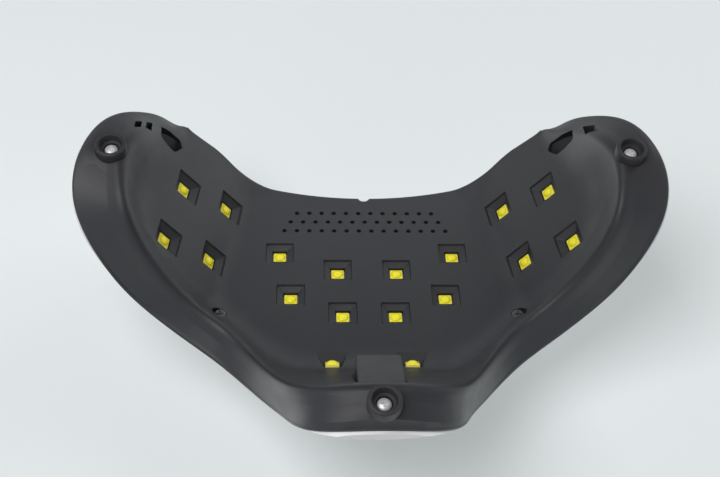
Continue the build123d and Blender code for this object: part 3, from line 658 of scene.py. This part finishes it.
def rearPocket():
    rear, hole = pockets["rear"], pockets["hole"]
    wide = hole + 2 * (rear["outside"] + rear["depth"]) * tan(rear["taper"])
    return loft([roundedSquare(wide, rear["mouthCorner"], -rear["outside"]),
                 roundedSquare(hole, rear["holeCorner"], rear["depth"]),
                 roundedSquare(hole, rear["holeCorner"], pockets["wellEnd"])])


def pocketCuts():
    cuts = [atSpot(place, steppedPocket(**pockets["centre"])) for place in centreSpots]
    cuts += [atSpot(place, steppedPocket(**pockets["wing"])) for place in wingSpots]
    return cuts + [atSpot(place, rearPocket()) for place in rearSpots]


# Vent holes, in rows of a count at each y, and the sensor notch at the front edge.
vents = {"radius": 0.95, "pitch": 5.0, "rows": [(-19.1, 12), (-14.0, 13), (-8.9, 14)], "ends": (-2, 7)}
notch = {"y": -28.5, "radius": 2.3, "ends": (-3, 9)}


def ventCuts():
    vent = turned([(vents["radius"], end) for end in vents["ends"]], 24)
    cuts = []
    for y, count in vents["rows"]:
        for i in range(count):
            x = (i - (count - 1) / 2) * vents["pitch"]
            cuts.append(atSpot(plateSpot(x, y), vent))
    sensor = turned([(notch["radius"], end) for end in notch["ends"]])
    return cuts + [atSpot(plateSpot(0, notch["y"]), sensor)]


# Windows and recesses in the two tips. A window is cut between shares of its length, and on side -1, the
# left, a post is left standing. The recess has a sloping floor.
tips = {
    "windowOuter": ((87.2, -19.8), (87.0, -14.8)), "windowInner": ((82.0, -25.9), (81.7, -19.6)),
    "windowSpans": {-1: [(0.0, 0.41), (0.65, 1.0)], 1: [(0.36, 1.0)]}, "windowTop": 22.0, "windowCorner": 0.4,
    "recess": [(83.8, -28.2), (83.4, -24.2), (75.5, -26.1), (72.8, -30.8), (73.9, -33.4), (79.5, -31.1)],
    "recessRadii": [0.5, 1.0, 1.6, 1.4, 1.4, 3.0], "recessLow": -12.0,
    "floorDepth": 1.0, "floorSlope": (-0.58, 0.66), "floorCentre": (78.0, -29.0),
    # backs of these blind holes: how far they reach into the shell, beyond it and round the outline
    "backing": {"sunk": 1.2, "wall": 1.5, "least": 0.8, "margin": 1.5, "rayStart": 60.0},
}


def grown(outline, margin):
    # outline moved away from its own middle
    return outline + unit(outline - outline.mean(axis=0)) * margin


def windowOutline(side, low, high, margin=0.0):
    # outline of a window between two shares of its length
    (a, b), (c, d) = (np.array(tips[key]) for key in ("windowOuter", "windowInner"))
    corners = np.array([a + (c - a) * low, b + (d - b) * low, b + (d - b) * high, a + (c - a) * high])
    outline = roundedOutline(grown(corners, margin), [tips["windowCorner"]] * 4, 2)
    return outline * (side, 1)


def windowSlots():
    slots = []
    for side, spans in tips["windowSpans"].items():
        for low, high in spans:
            outline = windowOutline(side, low, high)
            slots.append(loft([raised(outline, 0), raised(outline, tips["windowTop"])]))
    return slots


def backing(outline, direction, surface):
    # closed back of a blind hole: it starts inside the shell and ends behind the outline
    sunk, wall, least, away = (tips["backing"][key] for key in ("sunk", "wall", "least", "rayStart"))
    depths = []
    for point in outline:
        start = Vector(placed(point - direction * away))
        depths.append(surface.ray_cast(start, Vector(direction))[3] / mm - away + sunk)
    low = outline + direction * np.array(depths)[:, None]
    return loft([low, outline + direction * max(wall, max(depths) + least)])


def windowBackings(surface):
    upward = np.array([0.0, 0.0, 1.0])
    outlines = [windowOutline(side, 0.0, 1.0, tips["backing"]["margin"]) for side in sides]
    return [backing(raised(outline, tips["windowTop"]), upward, surface) for outline in outlines]


def recessOutline(side, margin, depth=None):
    # outline of the recess over the wing, moved outward by the margin; without a depth it lies on the floor
    angle = underside["wingAngle"]
    normal = np.array([side * sin(angle), 0, cos(angle)])
    outline = grown(roundedOutline(tips["recess"], tips["recessRadii"], 5), margin)
    height = (underside["wingReach"] - sin(angle) * outline[:, 0]) / cos(angle)
    if depth is None:
        (slopeX, slopeY), (x, y) = tips["floorSlope"], tips["floorCentre"]
        depth = tips["floorDepth"] + slopeX * (outline[:, 0] - x) + slopeY * (outline[:, 1] - y)
    points = np.column_stack([side * outline[:, 0], outline[:, 1], height])
    return points + normal * np.reshape(depth, (-1, 1)), normal


def recessPrism(side):
    return loft([recessOutline(side, 0.0, tips["recessLow"])[0], recessOutline(side, 0.0)[0]])


# Block low on the rear wall that makes room for the power inlet, with a narrow groove on each side of it.
# Its profile is in y and z.
inlet = {
    "half": 7.6, "edge": 0.5,
    "profile": [(92.6, 7.4), (75.0, 18.5), (74.6, 35.0), (77.5, 35.0), (93.4, 10.5)],
    "profileRadii": [0.0, 0.9, 0.0, 0.0, 0.0],
    "grooveWidth": 0.9, "grooveDepth": 1.3, "grooveEnds": (9.1, 35.0), "grooveFront": 6.0,
}


def inletBlock():
    half, edge = inlet["half"], inlet["edge"]
    profile = roundedOutline(inlet["profile"], inlet["profileRadii"])
    rings = []
    for x, inset in ((-half, edge), (edge - half, 0.0), (half - edge, 0.0), (half, edge)):
        outline = grown(profile, -inset)
        rings.append(np.column_stack([np.full(len(outline), x), outline]))
    return loft(rings)


def rearWallY(z):
    # y of the rear wall in the middle of the lamp
    (_, crestY, crestZ), _, (_, topY) = underside["stations"][-1]
    topZ = underside["plateHeight"] - underside["plateFall"] * topY
    lean = (crestY - topY) / (topZ - crestZ)
    return topY + (topZ - z) * lean


def blockGrooves():
    half, wide = inlet["half"], inlet["grooveWidth"]
    grooves = []
    for side in sides:
        rings = []
        for z in inlet["grooveEnds"]:
            front, back = rearWallY(z) - inlet["grooveFront"], rearWallY(z) + inlet["grooveDepth"]
            a, b = sorted((side * half, side * (half + wide)))
            rings.append([(a, front, z), (b, front, z), (b, back, z), (a, back, z)])
        grooves.append(loft(rings))
    return grooves


# Seats of the feet and of the two side screws. The back foot stands on a boss of its own.
seats = {
    "gap": 0.15, "low": -5.0, "screwHole": 1.6, "holeLength": 12.0,
    "bossRadius": 3.8, "bossEnds": (-1, 6.6),
    "sideScrew": (56.0, 37.0), "sideSeat": 54.8, "counterbore": 2.75, "boreLength": 20.0, "sideLength": 8.0,
}


def footBoss():
    radius, height = seats["bossRadius"], foot["height"]
    return moved(turned([(radius, height + end) for end in seats["bossEnds"]]), *foot["places"][2])


def seatCuts():
    wide, hole, high = foot["outer"] + seats["gap"], seats["screwHole"], foot["height"]
    footSeat = turned([(wide, seats["low"]), (wide, high), (hole, high), (hole, high + seats["holeLength"])])
    cuts = [moved(footSeat, x, y) for x, y in foot["places"]]
    x, y = seats["sideScrew"]
    bore, high = seats["counterbore"], seats["sideSeat"]
    low, end = high - seats["boreLength"], high + seats["sideLength"]
    screwSeat = turned([(bore, low), (bore, high), (hole, high), (hole, end)])
    return cuts + [moved(screwSeat, side * x, y) for side in sides]


def additions(surface):
    margin = tips["backing"]["margin"]
    added = [inletBlock(), footBoss()] + windowBackings(surface)
    return added + [backing(*recessOutline(side, margin), surface) for side in sides]


def removals():
    cuts = pocketCuts() + ventCuts() + windowSlots()
    return cuts + [recessPrism(side) for side in sides] + blockGrooves() + seatCuts()


# Each addition is joined by itself, and all the cuts are made in one go.
shell = makeUnderside()
for addition in additions(surfaceOf(shell.data)):
    applyBoolean(shell, newPiece("shellAddition", *addition), "UNION")
applyBoolean(shell, newPiece("shellRemovals", *joined(removals())), "DIFFERENCE")
dress(shell, "shell_black", replaced=["base_shell"])
print("underside:", len(shell.data.polygons), "faces")

# LEDs: a pale case, the phosphor face in it and a low dome, clear resin in the lamp but yellow like the face
# here. They sit on the boards.
led = {
    "side": 5.0, "corner": 0.35, "height": 1.6, "bevel": 0.12, "rim": 0.22, "seat": 4.3, "rearSeat": 0.0,
    "faceCorner": 0.3, "faceSunk": 0.3, "faceEdge": 0.06, "faceRise": 0.1,
    "domeRadius": 2.0, "domeHeight": 1.0, "domeFoot": 0.05, "domeSunk": 0.2,
}
rearBoard = {"side": 5.2, "corner": 0.3, "ends": (0.02, 1.6)}


def ledParts(place, seat):
    side, corner, bevel = led["side"], led["corner"], led["bevel"]
    face = seat - led["height"]
    case = loft([roundedSquare(side, corner, seat), roundedSquare(side, corner, face + bevel),
                 roundedSquare(side - 2 * bevel, corner, face)])
    inner = side - 2 * bevel - 2 * led["rim"]
    corner, edge = led["faceCorner"], led["faceEdge"]
    plate = loft([roundedSquare(inner, corner, face + led["faceSunk"]),
                  roundedSquare(inner, corner, face - edge),
                  roundedSquare(inner - 2 * edge, corner, face - led["faceRise"])])
    radius, height, low = led["domeRadius"], led["domeHeight"], face - led["domeFoot"]
    rise = np.linspace(0, pi / 2, 7)[:-1]
    crown = [(radius * cos(t), low - height * sin(t)) for t in rise]
    dome = turned([(radius, low + led["domeSunk"])] + crown, 32)
    return atSpot(place, case), [atSpot(place, plate), atSpot(place, dome)]


def rearBoardAt(place):
    return atSpot(place, loft([roundedSquare(rearBoard["side"], rearBoard["corner"], end)
                               for end in rearBoard["ends"]]))


cases, faces = [], []
for places, seat in ((centreSpots + wingSpots, led["seat"]), (rearSpots, led["rearSeat"])):
    for place in places:
        case, face = ledParts(place, seat)
        cases.append(case)
        faces += face
caseSkin = newPiece("ledCases", *joined(cases))
dress(caseSkin, "led_yellow", sharpAngle=30)
caseSkin.data.materials[0] = caseShade
boards = [rearBoardAt(place) for place in rearSpots]
dress(newPiece("rearLedBoards", *joined(boards)), "board_aluminium", replaced=["rear_led_boards"])
dress(newPiece("ledFaces", *joined(faces)), "led_yellow", sharpAngle=50,
      replaced=["centre_leds", "left_leds", "right_leds", "rear_leds"])

ring = turned(footProfile(), 64, endless=True)
feet = [moved(ring, x, y) for x, y in foot["places"]]
dress(newPiece("rubberFeet", *joined(feet)), "foot_rubber", replaced=["rubber_feet"])
# the side screws take the darkened steel, painted shade of their holes
nodes["side_screws"].data.materials[0] = screwPaintedShade

# Screws in the feet: domed heads with a cross recess.
footScrew = {
    "headRadius": 2.35, "rim": 3.5, "top": 2.5, "crownStart": 0.12,
    "shankRadius": 1.45, "shankEnd": 19.0,
    "crossWidth": 0.75, "crossLength": 2.9, "crossDepth": 0.9, "crossLift": 0.5, "crossTaper": 0.7,
}


def crossBars():
    half, reach = footScrew["crossWidth"] / 2, footScrew["crossLength"] / 2
    low, high = footScrew["top"] - footScrew["crossLift"], footScrew["top"] + footScrew["crossDepth"]
    corner = [(-reach, -half), (-half, -half), (-half, -reach), (half, -reach), (half, -half), (reach, -half)]
    outline = np.array(corner + [(-x, -y) for x, y in corner])
    return loft([raised(outline, low), raised(outline * footScrew["crossTaper"], high)])


def screwProfile():
    radius, rim, top = footScrew["headRadius"], footScrew["rim"], footScrew["top"]
    turns = np.linspace(footScrew["crownStart"], pi / 2, 9)
    crown = [(radius * sin(t), top + (rim - top) * (1 - cos(t))) for t in turns]
    shank, seat = footScrew["shankRadius"], foot["height"]
    return crown + [(radius, seat), (shank, seat), (shank, footScrew["shankEnd"])]


screws = [moved(turned(screwProfile(), 40), x, y) for x, y in foot["places"]]
crosses = [moved(crossBars(), x, y) for x, y in foot["places"]]
screwSkin = newPiece("footScrews", *joined(screws))
applyBoolean(screwSkin, newPiece("screwCrosses", *joined(crosses)), "DIFFERENCE")
dress(screwSkin, "screw_steel", replaced=["foot_screws"])
# the heads take the whitened zinc: plating with a painted highlight
screwSkin.data.materials[0] = zincHeadPaintedHighlight
print("LEDs and feet")

# Plain numbers of seconds on the buttons.
numbers = {"texts": ["10", "30", "60", "99"], "size": 3.4, "depth": 0.12, "lift": 0.03, "rayStart": 10.0}


def flatText(name, text):
    curve = bpy.data.curves.new(name, "FONT")
    curve.body = text
    curve.align_x = "CENTER"
    curve.align_y = "CENTER"
    curve.size = numbers["size"] * mm
    curve.extrude = numbers["depth"] * mm / 2
    curve.resolution_u = 6
    flat = bpy.data.objects.new("numberCurve", curve)
    bpy.context.scene.collection.objects.link(flat)
    mesh = bpy.data.meshes.new_from_object(flat.evaluated_get(bpy.context.evaluated_depsgraph_get()))
    bpy.data.objects.remove(flat)
    return mesh


def makeNumber(index, text):
    # each point of the text is dropped onto the cap
    capName = "button_cap_%d" % index
    low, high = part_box(capName)
    mesh = flatText("number%d" % index, text)
    surface = surfaceOf(nodes[capName].data)
    above = Vector(((low[0] + high[0]) / 2, (low[1] + high[1]) / 2, high[2] + numbers["rayStart"] * mm))
    for vertex in mesh.vertices:
        start = above + Vector((vertex.co.x, vertex.co.y, 0))
        hit = surface.ray_cast(start, Vector((0, 0, -1)))[0]
        side = numbers["lift"] if vertex.co.z > 0 else numbers["lift"] - numbers["depth"]
        vertex.co = hit + Vector((0, 0, side * mm))
    piece = bpy.data.objects.new("number%d" % index, mesh)
    bpy.context.scene.collection.objects.link(piece)
    dress(piece, "window_smoke", body="button_%d" % index)


for index, text in enumerate(numbers["texts"], 1):
    makeNumber(index, text)
print("numbers")

# Camera of the photograph: the lamp lies upside down, so the camera looks up at the underside.
photoCamera = {
    "place": (-26.16, 244.07, -326.96),
    "right": (0.9988, 0.0262, -0.0424),
    "up": (-0.0035, -0.8116, -0.5842),
    "forward": (0.0497, -0.5836, 0.8105),
    "lens": 60.0,
    "clip": (0.01, 20.0),
}


def makeCamera():
    data = bpy.data.cameras.new("photoCamera")
    data.lens = photoCamera["lens"]
    data.clip_start, data.clip_end = photoCamera["clip"]
    camera = bpy.data.objects.new("photoCamera", data)
    bpy.context.scene.collection.objects.link(camera)
    right, up, forward = (Vector(photoCamera[key]) for key in ("right", "up", "forward"))
    turn = Matrix((right, up, -forward)).transposed().to_4x4()
    camera.matrix_world = Matrix.Translation(Vector(photoCamera["place"]) * mm) @ turn
    bpy.context.scene.camera = camera


makeCamera()

# Stage: one floor under the feet, seen from above, and one over the crown, seen from below, where the
# photographed lamp lies on its back. Each is open to light and to the view from its other side.
stage = {
    "colour": (0.775, 0.815, 0.815), "patchShade": 0.985, "patchScale": 3.0,
    "roughness": 0.6, "specular": 0.2,
    "floorSize": 12.0,
    "crownFloorRadius": 1.1, "fadeStart": 0.55,
    "sky": (0.86, 0.875, 0.89), "skyStrength": 0.50,
}


def larger(tree, first, second):
    node = addNode(tree, "ShaderNodeMath", operation="MAXIMUM")
    tree.links.new(first, node.inputs[0])
    tree.links.new(second, node.inputs[1])
    return node.outputs[0]


def fadeOutward(tree):
    place = addNode(tree, "ShaderNodeTexCoord")
    length = addNode(tree, "ShaderNodeVectorMath", operation="LENGTH")
    tree.links.new(place.outputs["Object"], length.inputs[0])
    edge = addNode(tree, "ShaderNodeMapRange")
    edge.inputs["From Min"].default_value = stage["fadeStart"]
    edge.inputs["From Max"].default_value = stage["crownFloorRadius"]
    tree.links.new(length.outputs["Value"], edge.inputs["Value"])
    return edge.outputs["Result"]


def floorMaterial(name, fade):
    material, tree, shader = newMaterial(name)
    shader.inputs["Roughness"].default_value = stage["roughness"]
    shader.inputs["Specular IOR Level"].default_value = stage["specular"]
    patches = noise(tree, stage["patchScale"])
    low = [c * stage["patchShade"] for c in stage["colour"]]
    tree.links.new(mixColours(tree, patches, stage["colour"], low), shader.inputs["Base Color"])
    path = addNode(tree, "ShaderNodeLightPath")
    geometry = addNode(tree, "ShaderNodeNewGeometry")
    seeThrough = larger(tree, path.outputs["Is Shadow Ray"], path.outputs["Is Diffuse Ray"])
    seeThrough = larger(tree, seeThrough, geometry.outputs["Backfacing"])
    if fade:
        seeThrough = larger(tree, seeThrough, fadeOutward(tree))
    clear = addNode(tree, "ShaderNodeBsdfTransparent")
    mixed = addNode(tree, "ShaderNodeMixShader")
    tree.links.new(seeThrough, mixed.inputs["Fac"])
    tree.links.new(shader.outputs[0], mixed.inputs[1])
    tree.links.new(clear.outputs[0], mixed.inputs[2])
    tree.links.new(mixed.outputs[0], tree.nodes["Material Output"].inputs["Surface"])
    return material


def makeFloor(name, size, height, downward=False, fade=False):
    mesh = bpy.data.meshes.new(name)
    half = size / 2
    corners = [(-half, -half, 0), (half, -half, 0), (half, half, 0), (-half, half, 0)]
    mesh.from_pydata(corners, [], [(3, 2, 1, 0) if downward else (0, 1, 2, 3)])
    mesh.materials.append(floorMaterial(name, fade))
    floor = bpy.data.objects.new(name, mesh)
    floor.location = (0, 0, height)
    bpy.context.scene.collection.objects.link(floor)


makeFloor("tableFloor", stage["floorSize"], 0.0)
makeFloor("crownFloor", stage["crownFloorRadius"] * 2, cadBox[1][2], downward=True, fade=True)

world = bpy.data.worlds.new("paleSky")
bpy.context.scene.world = world
world.use_nodes = True
background = world.node_tree.nodes["Background"]
background.inputs["Color"].default_value = (*stage["sky"], 1)
background.inputs["Strength"].default_value = stage["skyStrength"]

lamps = {
    "underKey": {"place": (-0.35, 0.15, -0.75), "size": 0.55, "power": 4.6},
    "underFill": {"place": (0.66, -0.5, -0.45), "size": 0.6, "power": 2.3},
    "topKey": {"place": (-0.5, -0.5, 0.9), "size": 0.7, "power": 5.2},
    "topFill": {"place": (0.7, 0.4, 0.7), "size": 0.9, "power": 2.6},
}
lampAim = Vector((0, 0, 0.045))
for name, spec in lamps.items():
    data = bpy.data.lights.new(name, "AREA")
    data.size = spec["size"]
    data.energy = spec["power"]
    lamp = bpy.data.objects.new(name, data)
    lamp.location = spec["place"]
    lamp.rotation_euler = (lampAim - lamp.location).to_track_quat("-Z", "Y").to_euler()
    lamp.visible_camera = False
    bpy.context.scene.collection.objects.link(lamp)
print("stage and lamps")

bpy.context.scene.view_settings.view_transform = "Standard"
bpy.context.view_layer.update()
